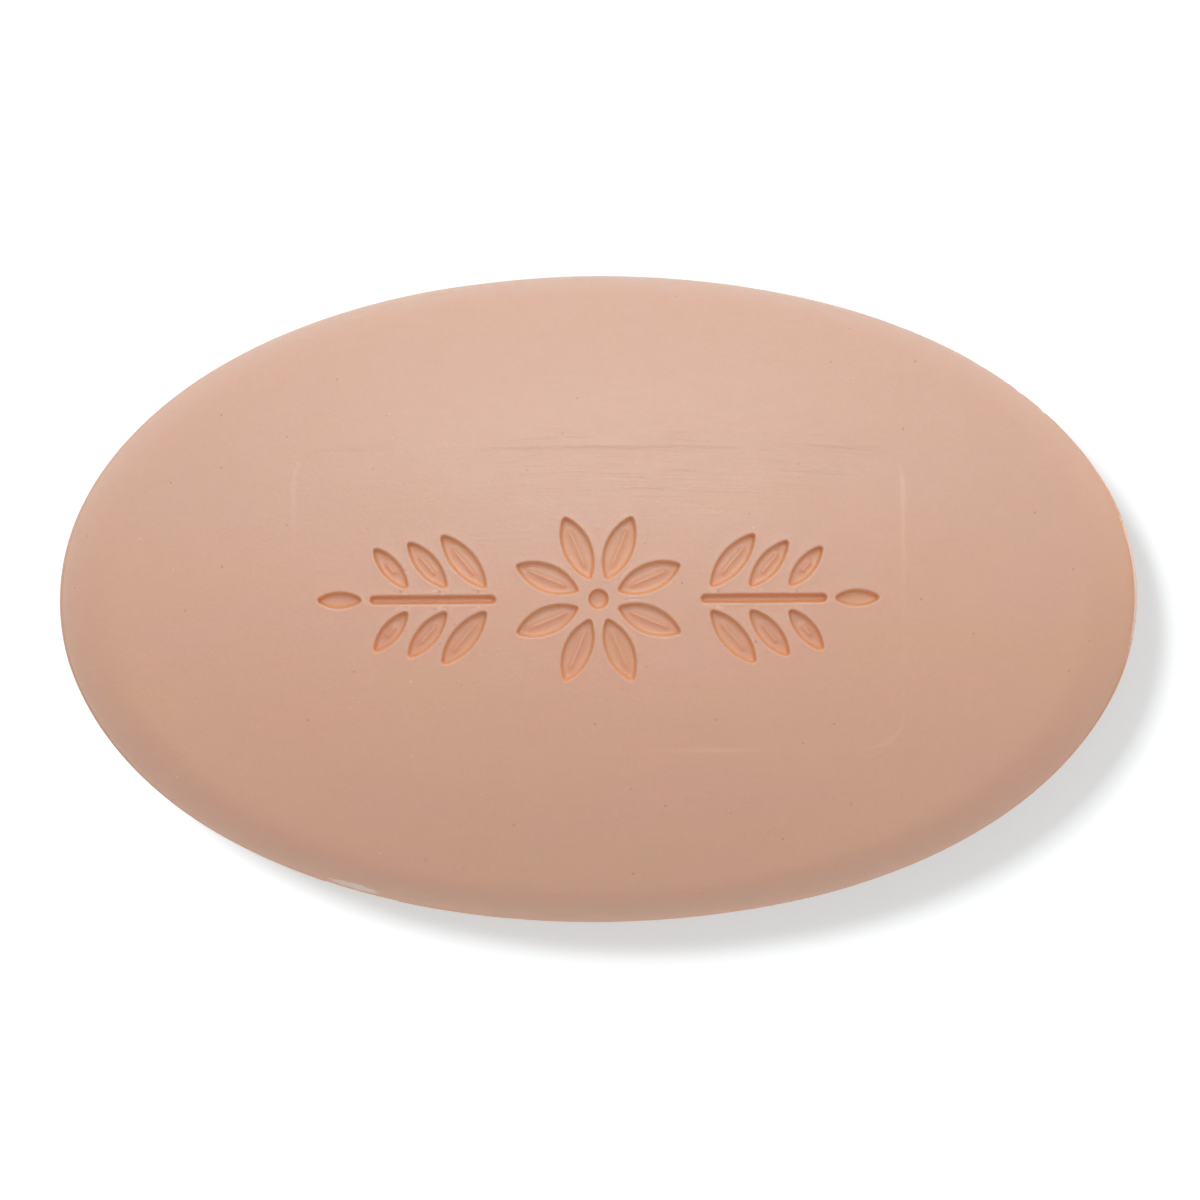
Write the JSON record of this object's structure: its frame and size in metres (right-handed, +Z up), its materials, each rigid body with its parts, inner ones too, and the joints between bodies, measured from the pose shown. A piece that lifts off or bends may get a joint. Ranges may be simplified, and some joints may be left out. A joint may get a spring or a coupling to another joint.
{
  "type": "bar of soap",
  "caption": "Oval pressed bar of soap with domed faces, a fine parting ridge and a shallow sunk panel with a floral mark, for washing hands and body.",
  "frame": {"origin": "the middle of the small flat on the belly, straight under the middle of the bar", "axes": "+X along the length of the bar, +Y across its width, +Z up through the marked face"},
  "size_m": [0.098, 0.059, 0.0289],
  "materials": {
    "soap": "smooth pressed soap with a soft satin sheen, peach pink"
  },
  "bodies": {
    "root": {"soap_bar": "soap"}
  },
  "joints": []
}
